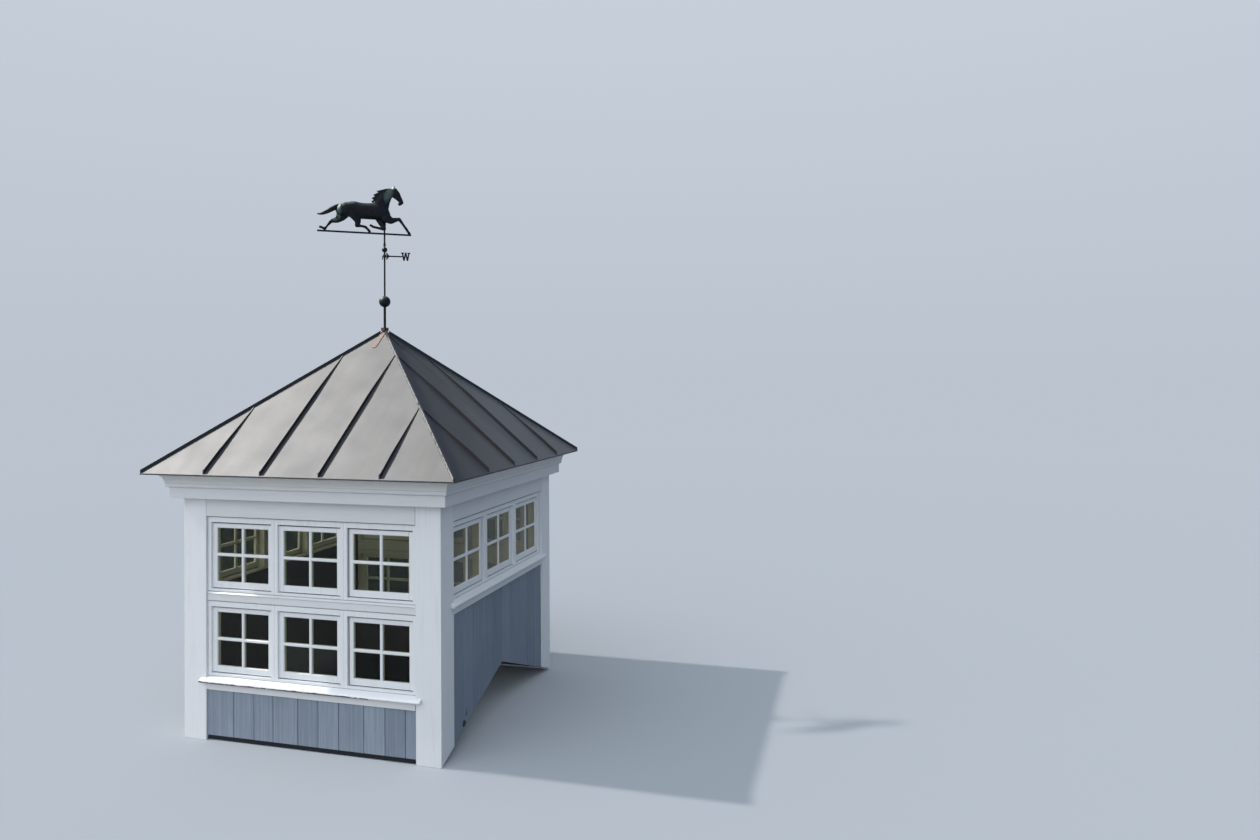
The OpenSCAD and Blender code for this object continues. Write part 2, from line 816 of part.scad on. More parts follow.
fore_folded = [[-36, 140, 46, 20, 20], [-20, 98, 35, 16, 20], [-8, 58, 20, 12, 12],
    [-2, 37, 15, 11, 4], [-50, 43, 10, 9, 6], [-96, 52, 10, 9, 8], [-119, 65, 10, 9, 8]];
fore_reach = [[14, 134, 42, 20, -18], [54, 110, 28, 15, -18], [96, 122, 18, 12, -16],
    [127, 129, 14, 11, -14], [160, 84, 10, 9, -10], [194, 38, 11, 9, -7], [206, 18, 10, 8, -5],
    [216, 8, 12, 9, -4]];
ears = [[78, 402, 9, 8, 11], [85, 425, 2, 2, 13]];
mane_line = [[84, 396], [48, 401], [12, 396], [-18, 386], [-68, 370], [-44, 365],
    [-98, 334], [-76, 327], [-111, 305], [-90, 294], [-112, 274], [-88, 258],
    [-40, 262], [0, 318], [60, 376]];

module station(p, sides) {
    translate([p[0], p[4], p[1]]) scale([p[2], p[3], p[2]]) sphere(1, $fn = sides);
}

module limb(stations, sides) {
    for (i = [1 : len(stations) - 1]) hull() {
        station(stations[i - 1], sides);
        station(stations[i], sides);
    }
}

// The blown mane, a plate whose back edge ends in locks
module mane() {
    translate([0, 8, 0]) rotate([90, 0, 0]) linear_extrude(16) polygon(mane_line);
}

module running_horse() {
    color("darkslategray") rotate([0, 0, heading]) translate([0, 0, bar_top]) difference() {
        union() {
            for (part = [trunk, neck, head]) limb(part, 20);
            for (part = [tail, hind_back, hind_under, fore_folded, fore_reach]) limb(part, 12);
            mane();
            for (side = [0, 1]) mirror([0, side, 0]) limb(ears, 12);
        }
        // Flat soles stand on the bar
        translate([-reach, -reach, -reach]) cube([2 * reach, 2 * reach, reach]);
    }
}

front_wall();
back_wall();
left_wall();
right_wall();
corner_posts();
top_plate();
front_corner_boards();
back_corner_boards();
side_corner_boards();
front_siding();
back_siding();
left_siding();
right_siding();
frieze_boards();
front_window_frame();
back_window_frame();
left_window_frame();
right_window_frame();
front_sashes();
back_sashes();
left_sashes();
right_sashes();
window_glass();
mid_rails();
window_sills();
sill_aprons();
base_flashing();
soffit();
fascia();
crown_moulding();
roof_deck();
front_roof_slope();
right_roof_slope();
back_roof_slope();
left_roof_slope();
hip_seams();
drip_edge();
hip_rafters();
rafters();
king_block();
vane_bracket();
vane_post();
vane_balls();
compass_arms();
vane_spindle();
running_horse();
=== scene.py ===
import math
import random

import bmesh
import bpy
from mathutils import Matrix, Vector


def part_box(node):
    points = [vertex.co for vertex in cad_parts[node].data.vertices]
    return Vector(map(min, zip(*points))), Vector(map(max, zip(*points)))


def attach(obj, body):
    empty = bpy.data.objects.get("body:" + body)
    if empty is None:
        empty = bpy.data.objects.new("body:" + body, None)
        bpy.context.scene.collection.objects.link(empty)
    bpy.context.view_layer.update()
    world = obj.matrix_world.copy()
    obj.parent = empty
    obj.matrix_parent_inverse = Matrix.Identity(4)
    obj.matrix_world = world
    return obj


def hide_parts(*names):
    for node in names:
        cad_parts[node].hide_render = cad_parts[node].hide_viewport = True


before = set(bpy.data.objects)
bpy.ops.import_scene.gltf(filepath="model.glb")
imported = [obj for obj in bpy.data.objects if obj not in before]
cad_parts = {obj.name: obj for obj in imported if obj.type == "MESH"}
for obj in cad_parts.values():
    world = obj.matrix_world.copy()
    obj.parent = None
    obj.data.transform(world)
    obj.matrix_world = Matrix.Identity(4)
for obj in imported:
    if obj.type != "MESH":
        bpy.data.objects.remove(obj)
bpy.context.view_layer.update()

# The view. The photograph was taken from the air, a little above the eaves and out to the
# right of the front. Its height, heading and lens were fitted to the box's straight edges.
photo_width = 1260
photo_focal = 867.69
camera = bpy.data.objects.new("camera", bpy.data.cameras.new("camera"))
bpy.context.collection.objects.link(camera)
bpy.context.scene.camera = camera
camera.data.sensor_width = 36
camera.data.lens = camera.data.sensor_width * photo_focal / photo_width
camera.data.shift_x = 0.00035
camera.data.shift_y = -0.0414
camera_heading = math.radians(15.199)
camera_tilt = math.radians(90.604)
camera_roll = math.radians(-0.368)
camera_place = (4.1224, -6.8769, 2.8395)
camera.matrix_world = (
    Matrix.Translation(camera_place)
    @ Matrix.Rotation(camera_heading, 4, "Z")
    @ Matrix.Rotation(camera_tilt, 4, "X")
    @ Matrix.Rotation(camera_roll, 4, "Z")
)

# The studio. A pale floor runs out to a pale sky, which is brighter behind the camera and falls
# off past the right and the top of the view. One lamp stands high on the left, and beside it a
# second one lights no matt surface, but makes metal and paint shine.
def place(tree, kind, settings=None, **links):
    """Adds a node. settings are its own properties. links feed or set its sockets, which go by
    name, or by number as i0."""
    node = tree.nodes.new(kind)
    for key, value in (settings or {}).items():
        setattr(node, key, value)
    for socket, value in links.items():
        numbered = socket[0] == "i" and socket[1:].isdigit()
        target = node.inputs[int(socket[1:]) if numbered else socket.replace("_", " ")]
        if isinstance(value, bpy.types.NodeSocket):
            tree.links.new(value, target)
        else:
            target.default_value = value
    return node


def parts(tree, vector):
    """A vector's X, Y and Z."""
    return place(tree, "ShaderNodeSeparateXYZ", Vector=vector).outputs


def ramp(tree, value, low, high, to_low=0.0, to_high=1.0, curve="LINEAR"):
    """A value taken from one range to another, and held inside it."""
    return place(tree, "ShaderNodeMapRange", {"interpolation_type": curve}, Value=value,
                 From_Min=low, From_Max=high, To_Min=to_low, To_Max=to_high).outputs["Result"]


def mix(tree, factor, a, b):
    """Two colours mixed by a factor."""
    return place(tree, "ShaderNodeMix", {"data_type": "RGBA"}, Factor=factor, i6=a, i7=b).outputs[2]


def maths(tree, operation, a, b=0.0):
    """One maths node on two values."""
    return place(tree, "ShaderNodeMath", {"operation": operation}, i0=a, i1=b).outputs[0]


scene = bpy.context.scene
scene.view_settings.view_transform = "Standard"
horizon_colour = (0.66, 0.71, 0.78, 1)
zenith_colour = (0.76, 0.82, 0.90, 1)
side_tint = (0.16, 0.23, 0.34, 1)
ceiling_tint = (0.17, 0.22, 0.30, 1)
# The camera sees a backdrop a little deeper than the sky's light, so that white trim stands out.
backdrop_low = (0.50, 0.55, 0.62, 1)
backdrop_high = (0.62, 0.68, 0.76, 1)
scene.world = bpy.data.worlds.new("studio")
scene.world.use_nodes = True
sky = scene.world.node_tree
sky.nodes.clear()
sky_path = place(sky, "ShaderNodeLightPath").outputs
sky_axes = parts(sky, place(sky, "ShaderNodeTexCoord").outputs["Generated"])
sky_height = ramp(sky, sky_axes["Z"], 0.0, 0.7)
sky_side = ramp(sky, sky_axes["X"], 0.40, 0.85, curve="SMOOTHSTEP")
sky_tinted = mix(sky, sky_side, mix(sky, sky_height, horizon_colour, zenith_colour), side_tint)
sky_ceiling = maths(sky, "MULTIPLY", ramp(sky, sky_axes["Z"], 0.44, 0.62, curve="SMOOTHSTEP"),
                    ramp(sky, sky_axes["Y"], 0.05, 0.45))
sky_shown = mix(sky, sky_path["Is Camera Ray"], mix(sky, sky_ceiling, sky_tinted, ceiling_tint),
                mix(sky, sky_height, backdrop_low, backdrop_high))
sky_front = ramp(sky, sky_axes["Y"], 0.1, -0.6, 0.0, 0.82, "SMOOTHSTEP")
sky_strength = place(sky, "ShaderNodeMath", {"operation": "MULTIPLY_ADD"}, i0=sky_front,
                     i1=sky_path["Is Diffuse Ray"], i2=1.0).outputs[0]
sky_light = place(sky, "ShaderNodeBackground", Color=sky_shown, Strength=sky_strength)
place(sky, "ShaderNodeOutputWorld", Surface=sky_light.outputs["Background"])


def distant_lamp(name, spread, strength, colour):
    """A lamp high on the left, so far off that its rays are almost parallel."""
    lamp = bpy.data.objects.new(name, bpy.data.lights.new(name, "SUN"))
    bpy.context.collection.objects.link(lamp)
    lamp.data.angle = math.radians(spread)
    lamp.data.energy = strength
    lamp.data.color = colour
    towards_lamp = Vector((-0.686, -0.083, 0.722))
    lamp.rotation_euler = towards_lamp.to_track_quat("Z", "Y").to_euler()
    return lamp


distant_lamp("key_lamp", 1.5, 1.65, (1.0, 0.97, 0.92))
sheen_lamp = distant_lamp("sheen_lamp", 5.0, 7.9, (1.0, 0.965, 0.92))
sheen_lamp.visible_diffuse = False


def new_material(name, **settings):
    """A material with one Principled shader, whose plain sockets are set by name."""
    material = bpy.data.materials.new(name)
    material.use_nodes = True
    shader = material.node_tree.nodes["Principled BSDF"]
    for socket, value in settings.items():
        shader.inputs[socket.replace("_", " ")].default_value = value
    return material, material.node_tree, shader


# The floor looks pale, but throws back only as much light as a dark one would: a fair amount in
# front of the cupola, and little to its right. Close by, seen through the panes, it is painted
# dark as shade for the inside of the box, and far off it fades into the backdrop.
pale_floor, shade_through_panes = (0.435, 0.46, 0.485, 1), (0.020, 0.022, 0.020, 1)
bounce_on_right, bounce_in_front = (0.13, 0.135, 0.135, 1), (0.30, 0.285, 0.265, 1)
floor_paint, floor_tree, floor_shader = new_material(
    "floor_paint", Roughness=0.9, Specular_IOR_Level=0.0
)
floor_path = place(floor_tree, "ShaderNodeLightPath").outputs
floor_spot = place(floor_tree, "ShaderNodeTexCoord").outputs["Object"]
floor_out = place(floor_tree, "ShaderNodeVectorMath", {"operation": "LENGTH"},
                  i0=floor_spot).outputs["Value"]
floor_seen = maths(floor_tree, "MAXIMUM", floor_path["Is Camera Ray"], floor_path["Is Glossy Ray"])
floor_shown = maths(floor_tree, "MAXIMUM", floor_seen, floor_path["Is Transmission Ray"])
floor_bounce = mix(floor_tree, ramp(floor_tree, parts(floor_tree, floor_spot)["X"], 1.4, 0.4),
                   bounce_on_right, bounce_in_front)
floor_colour = mix(floor_tree, floor_shown, floor_bounce, pale_floor)
# Painted shade: close by, rays that came through the panes find the floor dark, like the box's
# inside.
floor_shade_behind = maths(floor_tree, "MULTIPLY", ramp(floor_tree, floor_out, 4.5, 2.4),
                     floor_path["Is Transmission Ray"])
floor_tree.links.new(mix(floor_tree, floor_shade_behind, floor_colour, shade_through_panes),
                     floor_shader.inputs["Base Color"])
floor_hazy = maths(floor_tree, "MULTIPLY", floor_shown,
                   ramp(floor_tree, floor_out, 5.0, 28.0, curve="SMOOTHSTEP"))
floor_haze = place(floor_tree, "ShaderNodeEmission", Color=backdrop_low)
floor_cover = place(floor_tree, "ShaderNodeMixShader", Fac=floor_hazy,
                    i1=floor_shader.outputs["BSDF"], i2=floor_haze.outputs["Emission"])
floor_tree.links.new(floor_cover.outputs["Shader"],
                     floor_tree.nodes["Material Output"].inputs["Surface"])
floor_mesh = bmesh.new()
bmesh.ops.create_circle(floor_mesh, cap_ends=True, segments=96, radius=90)
floor_data = bpy.data.meshes.new("floor")
floor_mesh.to_mesh(floor_data)
floor_mesh.free()
floor_data.materials.append(floor_paint)
floor = bpy.data.objects.new("floor", floor_data)
bpy.context.collection.objects.link(floor)


# The framing. Posts, plates, wall panels, rafters and roof boards of bare softwood, nailed up
# in place. They show through the windows and from below, and keep the solids' own shapes.
def group(name, inputs, outputs):
    """A node group. Inputs are {name: default}, with None for a vector, and outputs are
    {name: type}."""
    tree = bpy.data.node_groups.new(name, "ShaderNodeTree")
    for socket, value in inputs.items():
        kind = "Vector" if value is None else "Color" if isinstance(value, tuple) else "Float"
        made = tree.interface.new_socket(socket, in_out="INPUT", socket_type="NodeSocket" + kind)
        if value is not None:
            made.default_value = value
    for socket, kind in outputs.items():
        tree.interface.new_socket(socket, in_out="OUTPUT", socket_type="NodeSocket" + kind)
    return tree, tree.nodes.new("NodeGroupInput"), tree.nodes.new("NodeGroupOutput")


def noise(tree, vector, scale, detail=4.0, rough=0.55):
    """A noise texture's value over a vector."""
    return place(tree, "ShaderNodeTexNoise", Vector=vector, Scale=scale, Detail=detail,
                 Roughness=rough).outputs["Fac"]


def stretch(tree, vector, x, y, z):
    """A vector with its axes scaled."""
    return place(tree, "ShaderNodeMapping", Vector=vector, Scale=(x, y, z)).outputs["Vector"]


# Grain is noise drawn out along the board: the vector comes in already stretched.
grain, grain_in, grain_out = group(
    "timber_grain",
    {"Vector": None, "Light": (0.6, 0.45, 0.3, 1), "Dark": (0.4, 0.28, 0.16, 1)},
    {"Color": "Color", "Height": "Float"},
)
streaks = noise(grain, grain_in.outputs["Vector"], 9.0, 6.0, 0.65)
rings = noise(grain, grain_in.outputs["Vector"], 2.2, 2.0, 0.5)
grain_mask = maths(grain, "MULTIPLY", ramp(grain, streaks, 0.35, 0.7),
                   ramp(grain, rings, 0.3, 0.75, 0.4, 1.0))
grain.links.new(mix(grain, grain_mask, grain_in.outputs["Light"], grain_in.outputs["Dark"]),
                grain_out.inputs["Color"])
grain.links.new(streaks, grain_out.inputs["Height"])


def coordinates(tree):
    """The object's own coordinates, which are the frame's, in metres."""
    return place(tree, "ShaderNodeTexCoord").outputs["Object"]


def use_group(tree, made, **links):
    """A placed copy of a node group, with its inputs linked or set."""
    return place(tree, "ShaderNodeGroup", {"node_tree": made}, **links)


def bump(tree, shader, height, distance, strength=1.0):
    """Feeds a height, in metres, to a shader's normal."""
    made = place(tree, "ShaderNodeBump", Height=height, Distance=distance, Strength=strength)
    tree.links.new(made.outputs["Normal"], shader.inputs["Normal"])


def bare_timber(name, stretches, light, dark):
    """Softwood with its grain along the axis that is stretched least."""
    material, tree, shader = new_material(name, Roughness=0.8)
    timber = use_group(tree, grain, Vector=stretch(tree, coordinates(tree), *stretches),
                       Light=light, Dark=dark)
    tree.links.new(timber.outputs["Color"], shader.inputs["Base Color"])
    bump(tree, shader, timber.outputs["Height"], 0.0012)
    return material


# The pine is painted much darker than bare wood: painted shade for the dark inside of the box.
shaded_pine_pale = (0.074, 0.051, 0.032, 1)
shaded_pine_deep = (0.037, 0.024, 0.014, 1)
upright_shaded_pine = bare_timber("upright_shaded_pine", (9, 9, 0.8), shaded_pine_pale, shaded_pine_deep)
level_shaded_pine = bare_timber("level_shaded_pine", (1.2, 1.2, 14), shaded_pine_pale, shaded_pine_deep)


def dress(node, material):
    """Gives a node of the frame its finish. Its shape stays as it is."""
    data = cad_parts[node].data
    data.materials.clear()
    data.materials.append(material)


for node in ("front_wall", "back_wall", "left_wall", "right_wall", "corner_posts", "king_block"):
    dress(node, upright_shaded_pine)
for node in ("top_plate", "roof_deck", "hip_rafters", "rafters"):
    dress(node, level_shaded_pine)


# The white trim. Corner boards, frieze, aprons, soffit, fascia and crown moulding are planed
# softwood under several coats of white paint. Each solid is copied, and its arrises are eased.
paint, paint_in, paint_out = group(
    "weathered_paint",
    {"Vector": None, "Grain": None, "Paint": (0.8, 0.8, 0.8, 1), "Soil": (0.4, 0.38, 0.34, 1),
     "Wood": (0.35, 0.3, 0.25, 1), "Peel": 0.0},
    {"Color": "Color", "Roughness": "Float", "Height": "Float"},
)
paint_place = paint_in.outputs["Vector"]
paint_grain = paint_in.outputs["Grain"]
clouds = noise(paint, paint_place, 2.3, 3.0)
runs = noise(paint, paint_grain, 1.0, 5.0, 0.6)
brush = noise(paint, stretch(paint, paint_grain, 5, 5, 5), 1.0, 2.0, 0.5)
checks = noise(paint, stretch(paint, paint_grain, 2.2, 2.2, 2.2), 1.0, 3.0, 0.6)
specks = noise(paint, paint_place, 55.0, 6.0, 0.7)
soiled = mix(paint, maths(paint, "MULTIPLY", ramp(paint, runs, 0.5, 0.8, 0.0, 0.30),
                          ramp(paint, clouds, 0.3, 0.7)),
             paint_in.outputs["Paint"], paint_in.outputs["Soil"])
checked = mix(paint, ramp(paint, checks, 0.70, 0.76, 0.0, 0.45), soiled, paint_in.outputs["Soil"])
flakes = noise(paint, paint_place, 30.0, 8.0, 0.72)
peeled = ramp(paint, maths(paint, "ADD", flakes, paint_in.outputs["Peel"]), 0.985, 1.0)
flecked = mix(paint, ramp(paint, specks, 0.74, 0.80, 0.0, 0.30), checked, paint_in.outputs["Soil"])
paint.links.new(mix(paint, peeled, flecked, paint_in.outputs["Wood"]), paint_out.inputs["Color"])
paint.links.new(maths(paint, "ADD", ramp(paint, clouds, 0.2, 0.8, 0.42, 0.55),
                      maths(paint, "MULTIPLY", peeled, 0.35)), paint_out.inputs["Roughness"])
paint.links.new(maths(paint, "SUBTRACT", maths(paint, "MULTIPLY", brush, 0.25), peeled),
                paint_out.inputs["Height"])

# Inside the box the joinery was left cream: the mask is 1 nearer the centre than the glass.
inside, inside_in, inside_out = group(
    "inside_mask", {"Vector": None, "Reach": 1.0}, {"Mask": "Float"}
)
inside_axes = parts(inside, inside_in.outputs["Vector"])
inside_far = maths(inside, "MAXIMUM", maths(inside, "ABSOLUTE", inside_axes["X"]),
                   maths(inside, "ABSOLUTE", inside_axes["Y"]))
inside.links.new(maths(inside, "LESS_THAN", inside_far, inside_in.outputs["Reach"]),
                 inside_out.inputs["Mask"])

white = (0.80, 0.81, 0.82, 1)
level_white = (0.72, 0.73, 0.735, 1)
soil = (0.40, 0.405, 0.40, 1)
grey_wood = (0.23, 0.22, 0.205, 1)
dark_wood = (0.11, 0.10, 0.09, 1)
cream = (0.90, 0.83, 0.58, 1)
glass_line = 1.074
upright_grain = (34, 34, 2.2)
level_grain = (2.2, 2.2, 34)


def white_paint(name, run, coat_colour=white, relief=0.0006, flaked=None, level=0.5):
    """White outside and cream inside, with its streaks along the grain. Where flaked gives a
    height, the paint just under it has come off in a broken streak, worst towards the left."""
    material, tree, shader = new_material(name, Specular_IOR_Level=level)
    spot = coordinates(tree)
    peel = 0.12
    wood = grey_wood
    if flaked:
        axes = parts(tree, spot)
        torn = noise(tree, stretch(tree, spot, 14, 14, 30), 1.0, 5.0, 0.7)
        ragged = maths(tree, "ADD", axes["Z"], ramp(tree, torn, 0.3, 0.7, -0.006, 0.006))
        along = ramp(tree, noise(tree, stretch(tree, spot, 7, 7, 0), 1.0, 5.0, 0.75), 0.34, 0.43)
        leftward = ramp(tree, axes["X"], 0.75, 0.10, 0.40, 1.0)
        under = ramp(tree, ragged, flaked + 0.001, flaked - 0.002, 0.12, 0.84)
        peel = maths(tree, "MULTIPLY", under, maths(tree, "MULTIPLY", along, leftward))
        wood = dark_wood
    coat = use_group(tree, paint, Vector=spot, Grain=stretch(tree, spot, *run), Paint=coat_colour,
                     Soil=soil, Wood=wood, Peel=peel)
    room = use_group(tree, inside, Vector=spot, Reach=glass_line)
    tree.links.new(mix(tree, room.outputs["Mask"], coat.outputs["Color"], cream),
                   shader.inputs["Base Color"])
    tree.links.new(coat.outputs["Roughness"], shader.inputs["Roughness"])
    bump(tree, shader, coat.outputs["Height"], relief)
    return material


trim_paint = white_paint("trim_paint", upright_grain)
level_paint = white_paint("level_paint", level_grain, level_white)


def add_piece(name, mesh, materials, body="cupola", smooth=False):
    """Turns a bmesh into a piece that rides on a body and takes its finish from a slot."""
    data = bpy.data.meshes.new(name)
    mesh.to_mesh(data)
    mesh.free()
    for material in materials:
        data.materials.append(material)
    data.polygons.foreach_set("use_smooth", [smooth] * len(data.polygons))
    piece = bpy.data.objects.new(name, data)
    bpy.context.collection.objects.link(piece)
    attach(piece, body)
    return piece


def in_order(elements):
    """Each of a mesh's elements once, in an order that is the same on each run."""
    return list(dict.fromkeys(elements))


def board(mesh, side, out, up, arris=0.0, steps=1):
    """Adds a square board of the front face, from side to side, out from the centre and up."""
    size = Vector((side[1] - side[0], out[1] - out[0], up[1] - up[0]))
    centre = Vector((side[0] + side[1], -out[0] - out[1], up[0] + up[1])) / 2
    made = bmesh.ops.create_cube(mesh, size=1, matrix=Matrix.LocRotScale(centre, None, size))
    if arris:
        edges = in_order(edge for vert in made["verts"] for edge in vert.link_edges)
        bmesh.ops.bevel(mesh, geom=edges, offset=arris, offset_type="OFFSET", affect="EDGES",
                        segments=steps, profile=0.5, material=-1, clamp_overlap=True)
    return made["verts"]


def merged_copy(node):
    """A node's mesh with its loose triangles merged into plain faces."""
    mesh = bmesh.new()
    mesh.from_mesh(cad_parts[node].data)
    bmesh.ops.remove_doubles(mesh, verts=mesh.verts, dist=0.00002)
    bmesh.ops.dissolve_limit(mesh, angle_limit=math.radians(0.5), verts=mesh.verts,
                             edges=mesh.edges)
    return mesh


def ease_edges(mesh, width, steps=2, sharper_than=30):
    """Rounds the arrises of a mesh."""
    arrises = [edge for edge in mesh.edges
               if edge.is_manifold and edge.calc_face_angle() > math.radians(sharper_than)]
    bmesh.ops.bevel(mesh, geom=arrises, offset=width, offset_type="OFFSET", affect="EDGES",
                    segments=steps, profile=0.5, material=-1, clamp_overlap=True)


def open_joints(mesh, sides=(), heights=()):
    """Draws edges back where boards meet, for the dark line of an open joint. Each edge is given
    as (distance from the centre, shift outward) or (height, shift upward)."""
    near = 0.0004
    for vert in mesh.verts:
        for axis in (0, 1):
            for edge, shift in sides:
                if abs(abs(vert.co[axis]) - edge) < near:
                    vert.co[axis] += math.copysign(shift, vert.co[axis])
        for edge, shift in heights:
            if abs(vert.co.z - edge) < near:
                vert.co.z += shift


def eased(node, material, width=0.002, steps=2, sides=(), heights=()):
    """A piece with a node's shape and eased arrises, shown in the node's place."""
    mesh = merged_copy(node)
    open_joints(mesh, sides, heights)
    ease_edges(mesh, width, steps)
    piece = add_piece(node + "_eased", mesh, [material])
    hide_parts(node)
    return piece


board_end = 0.915
lower_sill, rail_foot, upper_sill, frieze_foot = 0.501, 1.093, 1.166, 1.758
soft_arris = 0.003
board_joint, end_joint = 0.003, 0.001
for node in ("front_corner_boards", "back_corner_boards", "side_corner_boards"):
    eased(node, trim_paint, soft_arris, sides=((board_end, board_joint),))
eased("frieze_boards", level_paint, soft_arris,
      sides=((board_end, -end_joint),), heights=((frieze_foot, board_joint),))
for node in ("sill_aprons", "soffit", "fascia", "crown_moulding"):
    eased(node, level_paint)

# The window sills and mid rails. Each is one length of softwood. The sills have weathered
# worst: along the foot of the front one's nose the paint has flaked down to grey wood.
flaked_from = 0.4675
sill_paint = white_paint("sill_paint", level_grain, relief=0.0012, flaked=flaked_from, level=0.2)
eased("window_sills", sill_paint, soft_arris)
eased("mid_rails", level_paint, soft_arris, heights=((rail_foot, board_joint),))

# The window frames. Jambs, mullions, heads and feet of softwood, nailed up between the boards,
# white outside and cream inside. Their edges are drawn back, so that the joints show dark.
turns = {"front": 0, "right": 90, "back": 180, "left": 270}
two_rowed = ("front", "back")
frame_joint, side_head_joint = 0.004, 0.008
for wall in turns:
    head_joint = frame_joint if wall in two_rowed else side_head_joint
    eased(wall + "_window_frame", trim_paint, soft_arris,
          sides=((board_end, -end_joint),),
          heights=((lower_sill, board_joint), (rail_foot, -board_joint),
                   (upper_sill, frame_joint), (frieze_foot, -head_joint)))

# The sashes. Two stiles and two rails frame one light, hung with a little play all round. The
# outer edges are drawn back, so that the play shows as a dark line against the frame.
unit_width = 0.610
sash_half = 0.2745
sash_height = 0.522
sash_play, head_play = 0.006, 0.008
lower_sash, upper_sash = 0.523, 1.188
for wall in turns:
    eased(wall + "_sashes", trim_paint, soft_arris,
          sides=((sash_half, -sash_play), (unit_width - sash_half, sash_play),
                 (unit_width + sash_half, -sash_play)),
          heights=((lower_sash, sash_play), (lower_sash + sash_height, -head_play),
                   (upper_sash, sash_play), (upper_sash + sash_height, -head_play)))

# The sash joints. A dark strip stands in the play round each sash, a little back from its face:
# painted shade for the deep gap, which draws a dark line round the sash.
gap_shade_dark, gap_shade_light = (0.020, 0.019, 0.018, 1), (0.055, 0.052, 0.048, 1)
# Painted shade: these dark strips stand for the shade deep in the play round each sash.
gap_shade_paint, gap_shade_tree, gap_shade_shader = new_material("gap_shade_paint", Roughness=0.9)
gap_shade_cloud = noise(gap_shade_tree, coordinates(gap_shade_tree), 30.0, 4.0)
gap_shade_tree.links.new(mix(gap_shade_tree, ramp(gap_shade_tree, gap_shade_cloud, 0.35, 0.65), gap_shade_dark,
                         gap_shade_light), gap_shade_shader.inputs["Base Color"])
joint_depth = (1.060, 1.0815)
clear = 0.0002
side_tuck, head_tuck = 0.0004, 0.0028


def turned_piece(name, mesh, material, wall):
    """A piece made as if for the front wall, and turned to the wall it belongs to."""
    bmesh.ops.rotate(mesh, cent=(0, 0, 0), verts=mesh.verts,
                     matrix=Matrix.Rotation(math.radians(turns[wall]), 3, "Z"))
    bmesh.ops.recalc_face_normals(mesh, faces=mesh.faces)
    return add_piece(wall + name, mesh, [material])


def sash_gap_shade(wall, feet):
    """The painted shade in the play round one wall's sashes, which stand at these heights. The dark
    strips are tucked a little into the frame."""
    mesh = bmesh.new()
    edge = sash_half - sash_play
    for foot in feet:
        head = foot + sash_height
        for column in (-1, 0, 1):
            x = column * unit_width
            for side in (-1, 1):
                board(mesh, sorted((x + side * (edge + clear), x + side * (sash_half + side_tuck))),
                      joint_depth, (foot + clear, head + head_tuck))
            for up in ((foot + clear, foot + sash_play - clear),
                       (head - head_play + clear, head + head_tuck)):
                board(mesh, (x - edge, x + edge), joint_depth, up)
    turned_piece("_sash_gap_shade", mesh, gap_shade_paint, wall)


for wall in turns:
    sash_gap_shade(wall, (lower_sash, upper_sash) if wall in two_rowed else (upper_sash,))

# The glazing bars. One upright and one level bar divide each sash, moulded inside and puttied
# outside, and a bevel of putty holds the glass all round.
pane_width, pane_height = 0.472, 0.427
pane_middle = 0.2885
glass_outside, glass_inside = 1.0770, 1.0730
bar_outside, bar_inside = 1.0858, 1.0555
bar_width, bar_bevel = 0.0245, 0.0055
level_inset = 0.0004
putty_width = 0.003
putty_at_sash, putty_at_glass = 0.0080, 0.0030


def glazing_bar(mesh, side, out, up, long_axis, outward):
    """A bar on one face of the glass. The long arrises away from the glass are cut back."""
    verts = board(mesh, side, out, up)
    far = -max(out) if outward else -min(out)
    near, shortest = 0.0001, 0.1
    edges = [edge for edge in in_order(edge for vert in verts for edge in vert.link_edges)
             if all(abs(vert.co.y - far) < near for vert in edge.verts)
             and abs((edge.verts[0].co - edge.verts[1].co)[long_axis]) > shortest]
    bmesh.ops.bevel(mesh, geom=edges, offset=bar_bevel, offset_type="OFFSET", affect="EDGES",
                    segments=1 if outward else 4, profile=0.5, material=-1, clamp_overlap=True)


def putty_rim(mesh, middle_x, middle_z):
    """A ring of putty with a sloped face, between the glass and the sash."""
    made = bmesh.ops.create_grid(mesh, x_segments=1, y_segments=1, size=0.5,
                                 matrix=Matrix.Translation((middle_x, -glass_outside, middle_z))
                                 @ Matrix.Rotation(math.radians(90), 4, "X")
                                 @ Matrix.Diagonal((pane_width, pane_height, 1, 1)))
    face = made["verts"][0].link_faces[0]
    bmesh.ops.inset_individual(mesh, faces=[face], thickness=putty_width, use_even_offset=True)
    ring = [other for edge in face.edges for other in edge.link_faces if other is not face]
    raised = bmesh.ops.extrude_face_region(mesh, geom=ring, use_keep_orig=True)
    lifted = [item for item in raised["geom"] if isinstance(item, bmesh.types.BMVert)]
    reach_x, reach_z = (pane_width - putty_width) / 2, (pane_height - putty_width) / 2
    for vert in lifted:
        at_outer = abs(vert.co.x - middle_x) > reach_x or abs(vert.co.z - middle_z) > reach_z
        vert.co.y -= putty_at_sash if at_outer else putty_at_glass
    bmesh.ops.delete(mesh, geom=[face], context="FACES_ONLY")


def sash_bars(wall, rows):
    """All the bars and the putty of one wall's sashes, in rows above these sills. A level bar
    lies a hair below the face of the upright that it crosses."""
    mesh = bmesh.new()
    for row in rows:
        middle = row + pane_middle
        for column in (-1, 0, 1):
            x = column * unit_width
            across = (x - pane_width / 2, x + pane_width / 2)
            height = (middle - pane_height / 2, middle + pane_height / 2)
            upright = (x - bar_width / 2, x + bar_width / 2)
            level = (middle - bar_width / 2, middle + bar_width / 2)
            outer, inner = glass_outside + clear, glass_inside - clear
            glazing_bar(mesh, upright, (outer, bar_outside), height, 2, True)
            glazing_bar(mesh, across, (outer, bar_outside - level_inset), level, 0, True)
            glazing_bar(mesh, upright, (bar_inside, inner), height, 2, False)
            glazing_bar(mesh, across, (bar_inside + level_inset, inner), level, 0, False)
            putty_rim(mesh, x, middle)
    turned_piece("_glazing_bars", mesh, trim_paint, wall)


for wall in turns:
    sash_bars(wall, (lower_sill, upper_sill) if wall in two_rowed else (upper_sill,))
